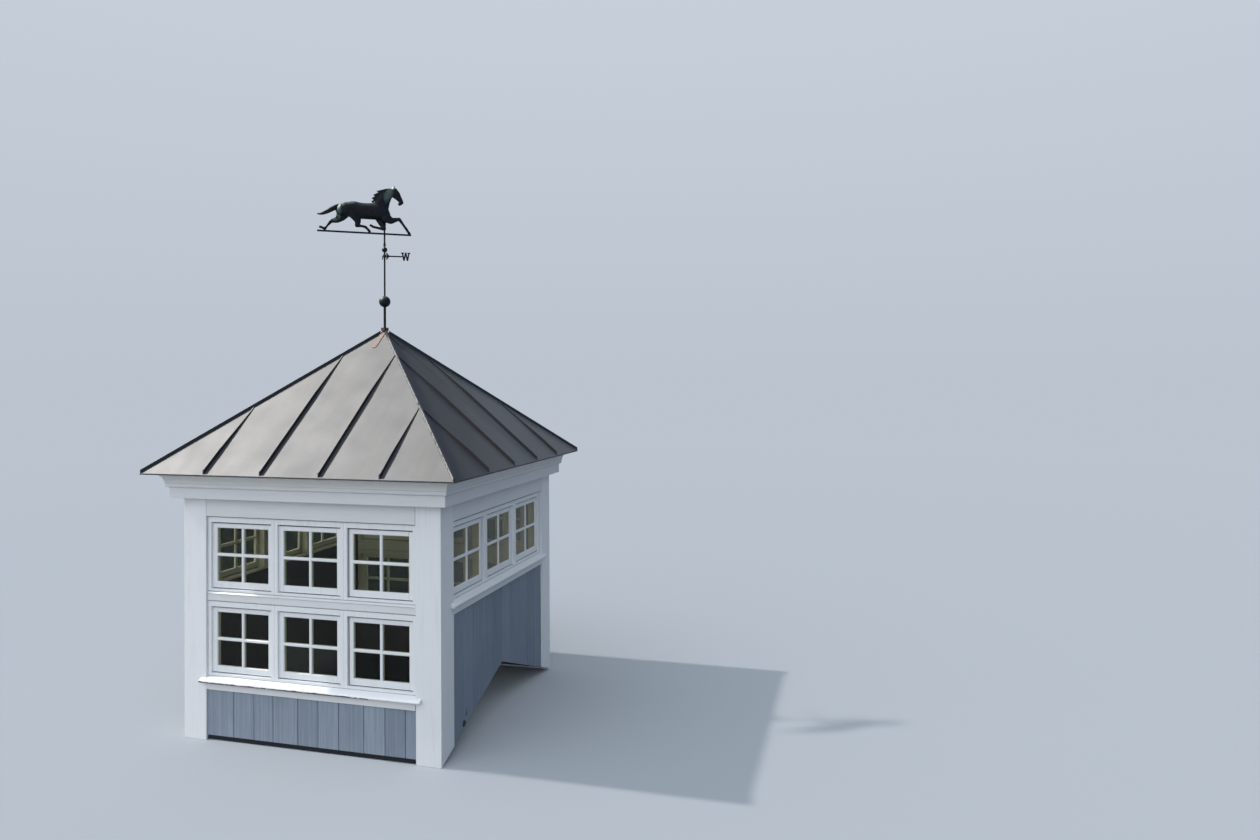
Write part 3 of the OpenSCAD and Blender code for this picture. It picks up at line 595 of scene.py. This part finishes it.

# The glass. Old drawn sheet with a slight wave in it, clearest in front. It is painted browner on
# the right and dark green on the sides away from the view: painted shade of the box's inside.
right_panes = 1.05
clear_pane, brown_pane = (0.60, 0.63, 0.58, 1), (0.34, 0.33, 0.25, 1)
far_pane_shade = (0.030, 0.038, 0.026, 1)
window_glass, glass_tree, glass_shader = new_material(
    "window_glass", Roughness=0.02, Transmission_Weight=1.0, IOR=1.25
)
glass_axes = parts(glass_tree, coordinates(glass_tree))
# Painted shade: the far panes are dark, so that the inside of the box looks dark through them.
glass_far_shade = ramp(glass_tree, maths(glass_tree, "SUBTRACT", glass_axes["Y"], glass_axes["X"]),
                   -0.15, 0.15)
glass_right = maths(glass_tree, "GREATER_THAN", glass_axes["X"], right_panes)
glass_clear = mix(glass_tree, glass_right, clear_pane, brown_pane)
glass_tree.links.new(mix(glass_tree, glass_far_shade, glass_clear, far_pane_shade),
                     glass_shader.inputs["Base Color"])
bump(glass_tree, glass_shader, noise(glass_tree, coordinates(glass_tree), 5.0, 2.0), 0.004, 0.6)
glass_path = place(glass_tree, "ShaderNodeLightPath").outputs
glass_open = place(glass_tree, "ShaderNodeBsdfTransparent", Color=(0.91, 0.93, 0.90, 1))
glass_passed = maths(glass_tree, "MAXIMUM", glass_path["Is Shadow Ray"],
                     glass_path["Is Diffuse Ray"])
glass_lit = place(glass_tree, "ShaderNodeMixShader", Fac=glass_passed,
                  i1=glass_shader.outputs["BSDF"], i2=glass_open.outputs["BSDF"])
glass_tree.links.new(glass_lit.outputs["Shader"],
                     glass_tree.nodes["Material Output"].inputs["Surface"])
dress("window_glass", window_glass)

# The siding. Vertical softwood boards of odd widths, nailed to the sheathing and stained a
# blue-grey that has faded unevenly. Those on the sides have their feet cut to two slopes.
blue_light, blue_dark = (0.290, 0.345, 0.415, 1), (0.205, 0.255, 0.320, 1)
blue_faded, blue_deep = (0.34, 0.385, 0.435, 1), (0.12, 0.15, 0.195, 1)
side_shade_blue, split_dark = (0.055, 0.075, 0.105, 1), (0.020, 0.022, 0.026, 1)
siding_stain, siding_tree, siding_shader = new_material("siding_stain", Roughness=0.72)
siding_tone = place(siding_tree, "ShaderNodeAttribute", {"attribute_name": "tone"}).outputs["Fac"]
siding_shift = place(siding_tree, "ShaderNodeCombineXYZ",
                     X=maths(siding_tree, "MULTIPLY", siding_tone, 7.3),
                     Z=maths(siding_tree, "MULTIPLY", siding_tone, 3.1)).outputs["Vector"]
siding_spot = place(siding_tree, "ShaderNodeVectorMath", {"operation": "ADD"},
                    i0=coordinates(siding_tree), i1=siding_shift).outputs["Vector"]
siding_grain = use_group(siding_tree, grain, Vector=stretch(siding_tree, siding_spot, 11, 11, 0.7),
                         Light=blue_light, Dark=blue_dark)
siding_cloud = ramp(siding_tree, noise(siding_tree, siding_spot, 1.7, 3.0), 0.35, 0.7, 0.0, 0.45)
siding_fade = mix(siding_tree, siding_cloud, siding_grain.outputs["Color"], blue_faded)
siding_shade = mix(siding_tree, ramp(siding_tree, siding_tone, 0.0, 1.0, 0.0, 0.4), siding_fade,
                   blue_deep)
siding_lines = noise(siding_tree, stretch(siding_tree, siding_spot, 75, 75, 1.1), 1.0, 3.0, 0.6)
siding_streaked = place(siding_tree, "ShaderNodeVectorMath", {"operation": "SCALE"},
                        i0=siding_shade, Scale=ramp(siding_tree, siding_lines, 0.3, 0.7, 0.84, 1.12)
                        ).outputs["Vector"]


def oval(tree, across, up, half_width, half_height):
    """The square of how far a point is from an oval's middle: 1 at its edge."""
    wide = maths(tree, "DIVIDE", across, half_width)
    tall = maths(tree, "DIVIDE", up, half_height)
    return maths(tree, "ADD", maths(tree, "MULTIPLY", wide, wide),
                 maths(tree, "MULTIPLY", tall, tall))


# On the right side one board's foot is chipped, with a dark split above the chip. The boards of
# both sides are a little darker than those in front: painted shade, as the sides lie in shade.
right_side, side_faces = 1.0, 1.095
siding_axes = parts(siding_tree, coordinates(siding_tree))
split_wander = ramp(siding_tree, noise(siding_tree, coordinates(siding_tree), 24.0, 4.0), 0.3, 0.7,
                    -0.012, 0.012)


def blot(across, up, half_width, half_height):
    """A mask that is 1 in a small ragged oval at a place on the right side."""
    from_across = maths(siding_tree, "SUBTRACT", siding_axes["Y"], across)
    far = oval(siding_tree, maths(siding_tree, "ADD", from_across, split_wander),
               maths(siding_tree, "SUBTRACT", siding_axes["Z"], up), half_width, half_height)
    return maths(siding_tree, "LESS_THAN", far, 1.0)


split_mask = maths(siding_tree, "MULTIPLY",
                   maths(siding_tree, "GREATER_THAN", siding_axes["X"], right_side),
                   maths(siding_tree, "MAXIMUM", blot(-0.699, 0.245, 0.005, 0.034),
                         blot(-0.728, 0.178, 0.024, 0.026)))
# Painted shade: the boards of both sides are darkened.
side_shade_mask = maths(siding_tree, "GREATER_THAN", maths(siding_tree, "ABSOLUTE", siding_axes["X"]),
                  side_faces)
siding_side_shaded = mix(siding_tree, maths(siding_tree, "MULTIPLY", side_shade_mask, 0.22), siding_streaked,
                    side_shade_blue)
siding_tree.links.new(mix(siding_tree, split_mask, siding_side_shaded, split_dark),
                      siding_shader.inputs["Base Color"])
bump(siding_tree, siding_shader, siding_grain.outputs["Height"], 0.0012)
board_gap, board_arris, most_planed = 0.0045, 0.0018, 0.0012
front_joints = (-0.673, -0.488, -0.314, -0.093, 0.085, 0.262, 0.478, 0.656, 0.826)
side_joints = (-0.742, -0.560, -0.402, -0.186, 0.0, 0.176, 0.392, 0.571, 0.748)
foot_rise, foot_run = 4.5, 12
foot_slope = math.atan2(foot_rise, foot_run)
box_half = 1.125
tones = random.Random(11)


def siding_boards(wall, joints, cut_to_slopes):
    """One wall's boards, side by side between its corner boards."""
    low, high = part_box(wall + "_siding")
    axis = 0 if cut_to_slopes else 1
    inner, outer = sorted((abs(low[axis]), abs(high[axis])))
    edges = (-board_end,) + joints + (board_end,)
    wall_mesh = bmesh.new()
    tone_layer = wall_mesh.faces.layers.float.new("tone")
    for left, right in zip(edges, edges[1:]):
        planed = tones.uniform(0.0, most_planed)
        board(wall_mesh, (left + board_gap / 2, right - board_gap / 2), (inner, outer - planed),
              (low[2], high[2]), arris=board_arris, steps=2)
        tone = tones.uniform(0.05, 1.0)
        for face in wall_mesh.faces:
            if face[tone_layer] == 0.0:
                face[tone_layer] = tone
    if cut_to_slopes:
        ridge = box_half * math.tan(foot_slope)
        for side in (-1, 1):
            half_boards = [face for face in wall_mesh.faces
                           if face.calc_center_median().x * side > 0]
            geometry = half_boards + in_order(edge for face in half_boards for edge in face.edges) \
                + in_order(vert for face in half_boards for vert in face.verts)
            cut = bmesh.ops.bisect_plane(
                wall_mesh, geom=geometry, dist=0.00001, plane_co=(0, 0, ridge),
                plane_no=(side * math.sin(foot_slope), 0, math.cos(foot_slope)), clear_inner=True)
            rims = [item for item in cut["geom_cut"] if isinstance(item, bmesh.types.BMEdge)]
            bmesh.ops.holes_fill(wall_mesh, edges=rims, sides=0)
    piece = turned_piece("_siding_boards", wall_mesh, siding_stain, wall)
    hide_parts(wall + "_siding")


siding_boards("front", front_joints, False)
siding_boards("back", front_joints, False)
siding_boards("right", side_joints, True)
siding_boards("left", side_joints, True)

# The roofing. Charcoal-painted steel pans with standing seams that are folded down towards the
# hips, dulled by dust. The pans buckle a little between their seams.
# Colours of painted light: a pale grey for sheen, navy for the hip's shadow, near black for shade.
sheen_grey = (0.090, 0.098, 0.110, 1)
hip_shadow_navy, flank_shade_black = (0.008, 0.015, 0.028, 1), (0.006, 0.008, 0.013, 1)


def painted_steel(name, fresh, dusty, low_gloss, high_gloss, level):
    """Sheet steel under dark paint, with dust in clouds and faint runs down the slope. The steep
    flanks of the seams are painted near black as shade. On the right slope the front hip's shadow
    is painted navy beside it, and towards the back a paler grey paints the sky's sheen."""
    material, tree, shader = new_material(name, Metallic=0.1, Specular_IOR_Level=level)
    spot = coordinates(tree)
    facing = parts(tree, place(tree, "ShaderNodeNewGeometry").outputs["Normal"])
    # Painted shade: the steep flanks of the seams are darkened nearly to black.
    flank_shade = ramp(tree, maths(tree, "MAXIMUM", maths(tree, "ABSOLUTE", facing["X"]),
                             maths(tree, "ABSOLUTE", facing["Y"])), 0.74, 0.84)
    axes = parts(tree, spot)
    on_side = maths(tree, "GREATER_THAN", maths(tree, "ABSOLUTE", axes["X"]),
                    maths(tree, "ABSOLUTE", axes["Y"]))
    down = place(tree, "ShaderNodeMix", {"data_type": "VECTOR"}, Factor=on_side,
                 i4=stretch(tree, spot, 8.0, 0.7, 0.7),
                 i5=stretch(tree, spot, 0.7, 8.0, 0.7)).outputs[1]
    cloud = maths(tree, "MULTIPLY", ramp(tree, noise(tree, spot, 2.6, 6.0, 0.6), 0.3, 0.65),
                  ramp(tree, noise(tree, down, 1.0, 5.0, 0.6), 0.35, 0.65))
    fine = ramp(tree, noise(tree, spot, 90.0, 3.0), 0.3, 0.7, 0.88, 1.12)
    on_right = maths(tree, "MULTIPLY", on_side, maths(tree, "GREATER_THAN", axes["X"], 0.0))
    from_hip = maths(tree, "ADD", axes["X"], axes["Y"])
    # Painted sheen: the right slope turns paler grey towards the back.
    sheen_mask = maths(tree, "MULTIPLY", on_right, ramp(tree, from_hip, 0.50, 1.2, 0.0, 0.8))
    sheened = mix(tree, sheen_mask, mix(tree, cloud, fresh, dusty), sheen_grey)
    # Painted shadow: the right slope is navy and darker beside the front hip.
    hip_shadow = maths(tree, "MULTIPLY", on_right, ramp(tree, from_hip, 0.10, 0.70, 0.85, 0.12))
    hip_shadowed = mix(tree, hip_shadow, sheened, hip_shadow_navy)
    coat = mix(tree, flank_shade, hip_shadowed, flank_shade_black)
    tree.links.new(place(tree, "ShaderNodeVectorMath", {"operation": "SCALE"}, i0=coat,
                         Scale=fine).outputs["Vector"], shader.inputs["Base Color"])
    tree.links.new(ramp(tree, noise(tree, spot, 4.0, 4.0), 0.3, 0.7, low_gloss, high_gloss),
                   shader.inputs["Roughness"])
    bump(tree, shader, noise(tree, spot, 2.2, 1.0), 0.010, 0.3)
    return material


roof_paint = painted_steel("roof_paint", (0.030, 0.035, 0.043, 1), (0.062, 0.058, 0.054, 1),
                           0.64, 0.69, 0.78)
# The flashing is painted darker than the roof: painted shade at the foot of the walls.
flashing_shaded_paint = painted_steel("flashing_shaded_paint", (0.012, 0.015, 0.021, 1),
                               (0.022, 0.025, 0.031, 1), 0.5, 0.6, 0.4)
for wall in turns:
    eased(wall + "_roof_slope", roof_paint, 0.0016)
eased("drip_edge", roof_paint, 0.0012)

# The hip seams. A folded cap runs down each hip. Its left-facing flank carries a painted
# highlight, broken into patches, that shows as a broken pale line.
hip_dark, hip_highlight = (0.013, 0.017, 0.025, 1), (0.42, 0.41, 0.40, 1)
hip_paint, hip_tree, hip_shader = new_material("hip_paint", Metallic=0.1, Roughness=0.6)
hip_spot = coordinates(hip_tree)
hip_facing = parts(hip_tree, place(hip_tree, "ShaderNodeNewGeometry").outputs["Normal"])["X"]
hip_out = maths(hip_tree, "ABSOLUTE", parts(hip_tree, hip_spot)["X"])
hip_patches = ramp(hip_tree, noise(hip_tree, hip_spot, 26.0, 5.0, 0.7), 0.36, 0.50)
hip_highlight_breaks = maths(hip_tree, "MULTIPLY", hip_patches, ramp(hip_tree, hip_out, 0.06, 0.12))
# Painted highlight: left-facing flanks turn pale in broken patches.
hip_highlight_mask = maths(hip_tree, "MULTIPLY", ramp(hip_tree, hip_facing, -0.25, -0.45), hip_highlight_breaks)
hip_tree.links.new(mix(hip_tree, hip_highlight_mask, hip_dark, hip_highlight), hip_shader.inputs["Base Color"])
bump(hip_tree, hip_shader, noise(hip_tree, hip_spot, 40.0, 3.0), 0.0015)
eased("hip_seams", hip_paint, 0.0012)
eased("base_flashing", flashing_shaded_paint, 0.0012)

# The weathervane. A copper figure on iron rods, gone blue-black out of doors. Its upper sides
# are paler, partly verdigris where the rain lies and partly a painted highlight from the sky.
patina_black, patina_blue = (0.004, 0.006, 0.010, 1), (0.011, 0.016, 0.021, 1)
bloom_and_highlight_colour = (0.060, 0.082, 0.088, 1)


def patina(name):
    """The rods' and the figure's dark finish, before any verdigris. Gives what a material needs."""
    material, tree, shader = new_material(name, Metallic=0.2, Roughness=0.5, Specular_IOR_Level=0.3)
    spot = coordinates(tree)
    upward = parts(tree, place(tree, "ShaderNodeNewGeometry").outputs["Normal"])["Z"]
    cloud = ramp(tree, noise(tree, spot, 11.0, 6.0), 0.45, 0.75)
    # Upward faces turn paler: partly verdigris, partly a painted highlight from above.
    bloom_and_highlight = maths(tree, "MULTIPLY", ramp(tree, upward, 0.35, 0.95, 0.0, 0.8),
                  ramp(tree, noise(tree, spot, 18.0, 4.0), 0.35, 0.6, 0.3, 1.0))
    dark = mix(tree, cloud, patina_black, patina_blue)
    return material, tree, shader, spot, mix(tree, bloom_and_highlight, dark, bloom_and_highlight_colour)


rod_patina, rod_tree, rod_shader, rod_spot, rod_coat = patina("rod_patina")
rod_tree.links.new(rod_coat, rod_shader.inputs["Base Color"])
bump(rod_tree, rod_shader, noise(rod_tree, rod_spot, 160.0, 3.0), 0.0006)
for node in ("vane_post", "vane_balls", "vane_spindle"):
    dress(node, rod_patina)
eased("compass_arms", rod_patina, 0.0006)

# The running horse. Two hammered shells soldered edge to edge: the modelled form is smoothed
# over and swelled back to its size, the strands of mane and tail are chased into it, and
# verdigris has run from the poll, down the neck, and from the dock down the buttock.
horse_heading, strand_slope = math.radians(37), math.radians(-23)
verdigris, pale_verdigris = (0.125, 0.175, 0.165, 1), (0.34, 0.43, 0.39, 1)
bar_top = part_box("running_horse")[0][2]
horse_patina, horse_tree, horse_shader, horse_spot, horse_coat = patina("horse_patina")
along = place(horse_tree, "ShaderNodeMapping", Vector=horse_spot, Location=(0, 0, -bar_top),
              Rotation=(0, 0, -horse_heading)).outputs["Vector"]
horse_axes = parts(horse_tree, along)
horse_x, horse_z = horse_axes["X"], horse_axes["Z"]
horse_wander = ramp(horse_tree, noise(horse_tree, horse_spot, 22.0, 5.0, 0.65), 0.3, 0.7,
                    -0.5, 0.5)


def stain(x, z, half_width, half_height, lean=0.0):
    """A ragged oval on the figure, at a place along and above its bar, 1 at its middle."""
    from_x = maths(horse_tree, "SUBTRACT", horse_x, x)
    from_z = maths(horse_tree, "SUBTRACT", horse_z, z)
    skewed = maths(horse_tree, "SUBTRACT", from_x, maths(horse_tree, "MULTIPLY", from_z, lean))
    far = oval(horse_tree, skewed, from_z, half_width, half_height)
    return ramp(horse_tree, maths(horse_tree, "ADD", far, horse_wander), 1.3, 0.3)


def greatest(tree, values):
    """The greatest of several masks."""
    most = values[0]
    for value in values[1:]:
        most = maths(tree, "MAXIMUM", most, value)
    return most


pale_stain = greatest(horse_tree, [stain(0.070, 0.405, 0.020, 0.014),
                                   stain(-0.384, 0.215, 0.010, 0.042, 0.35)])
green_stain = greatest(horse_tree, [stain(0.036, 0.345, 0.034, 0.074, 0.30),
                                    stain(-0.385, 0.165, 0.018, 0.060),
                                    stain(-0.430, 0.100, 0.040, 0.016),
                                    stain(-0.300, 0.255, 0.050, 0.016)])
horse_stained = mix(horse_tree, maths(horse_tree, "MULTIPLY", green_stain, 0.62), horse_coat,
                    verdigris)
horse_tree.links.new(mix(horse_tree, maths(horse_tree, "MULTIPLY", pale_stain, 0.85), horse_stained,
                         pale_verdigris), horse_shader.inputs["Base Color"])
strand_run = place(horse_tree, "ShaderNodeMapping", Vector=along,
                   Rotation=(0, strand_slope, 0)).outputs["Vector"]
strands = noise(horse_tree, stretch(horse_tree, strand_run, 9, 40, 150), 1.0, 2.0, 0.5)
tail = ramp(horse_tree, horse_x, -0.362, -0.378)
behind_neck = maths(horse_tree, "ADD", horse_x, maths(horse_tree, "MULTIPLY", horse_z, -0.62))
mane = maths(horse_tree, "MULTIPLY", ramp(horse_tree, horse_z, 0.245, 0.265),
             ramp(horse_tree, behind_neck, -0.190, -0.205))
hair = maths(horse_tree, "MULTIPLY", strands, greatest(horse_tree, [tail, mane]))
pits = maths(horse_tree, "MULTIPLY", noise(horse_tree, horse_spot, 130.0, 3.0), 0.12)
bump(horse_tree, horse_shader, maths(horse_tree, "ADD", hair, pits), 0.006)
horse = add_piece("running_horse_figure", merged_copy("running_horse"), [horse_patina],
                  "vane", smooth=True)
horse_remesh = horse.modifiers.new("shell", "REMESH")
horse_remesh.mode = "VOXEL"
horse_remesh.voxel_size = 0.0035
horse_remesh.use_smooth_shade = True
horse_smooth = horse.modifiers.new("hammering", "SMOOTH")
horse_smooth.factor = 0.5
horse_smooth.iterations = 8
horse_regrow = horse.modifiers.new("regrow", "DISPLACE")
horse_regrow.mid_level = 0.0
horse_regrow.strength = 0.0018
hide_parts("running_horse")

# The bracket. Four straps brazed to a socket. The front strap has gone copper-pink in the sun,
# with paler patches, and the others and the socket are painted nearly black, partly as shade.
copper_pink, copper_bloom = (0.105, 0.052, 0.036, 1), (0.22, 0.132, 0.098, 1)
strap_shade_black, strap_shade_brown = (0.020, 0.019, 0.021, 1), (0.050, 0.040, 0.036, 1)
screw_dark = (0.030, 0.018, 0.014, 1)
strap_copper, strap_tree, strap_shader = new_material("strap_copper", Metallic=0.15, Roughness=0.6)
strap_spot = coordinates(strap_tree)
strap_axes = parts(strap_tree, strap_spot)
strap_front = ramp(strap_tree, maths(strap_tree, "ADD", strap_axes["Y"],
                                     maths(strap_tree, "ABSOLUTE", strap_axes["X"])),
                   -0.014, -0.022)
strap_bloom = ramp(strap_tree, noise(strap_tree, strap_spot, 45.0, 5.0, 0.65), 0.42, 0.68)
strap_warm = mix(strap_tree, strap_bloom, copper_pink, copper_bloom)
# Painted shade in part: every strap but the front one is darkened nearly to black.
strap_shaded = mix(strap_tree, strap_bloom, strap_shade_black, strap_shade_brown)
# Two small dark discs are painted on the front strap, where its screws are.
strap_middle, screw_reach, screw_radius = -0.127, 0.034, 0.0055
from_middle = maths(strap_tree, "SUBTRACT", strap_axes["Y"], strap_middle)
from_head = maths(strap_tree, "SUBTRACT", maths(strap_tree, "ABSOLUTE", from_middle), screw_reach)
from_screw = place(strap_tree, "ShaderNodeCombineXYZ", X=strap_axes["X"],
                   Y=from_head).outputs["Vector"]
screw_far = place(strap_tree, "ShaderNodeVectorMath", {"operation": "LENGTH"},
                  i0=from_screw).outputs["Value"]
strap_screw = maths(strap_tree, "LESS_THAN", screw_far, screw_radius)
strap_coat = mix(strap_tree, strap_front, strap_shaded, strap_warm)
strap_tree.links.new(mix(strap_tree, strap_screw, strap_coat, screw_dark),
                     strap_shader.inputs["Base Color"])
bump(strap_tree, strap_shader, strap_bloom, 0.0008)
eased("vane_bracket", strap_copper, 0.001)
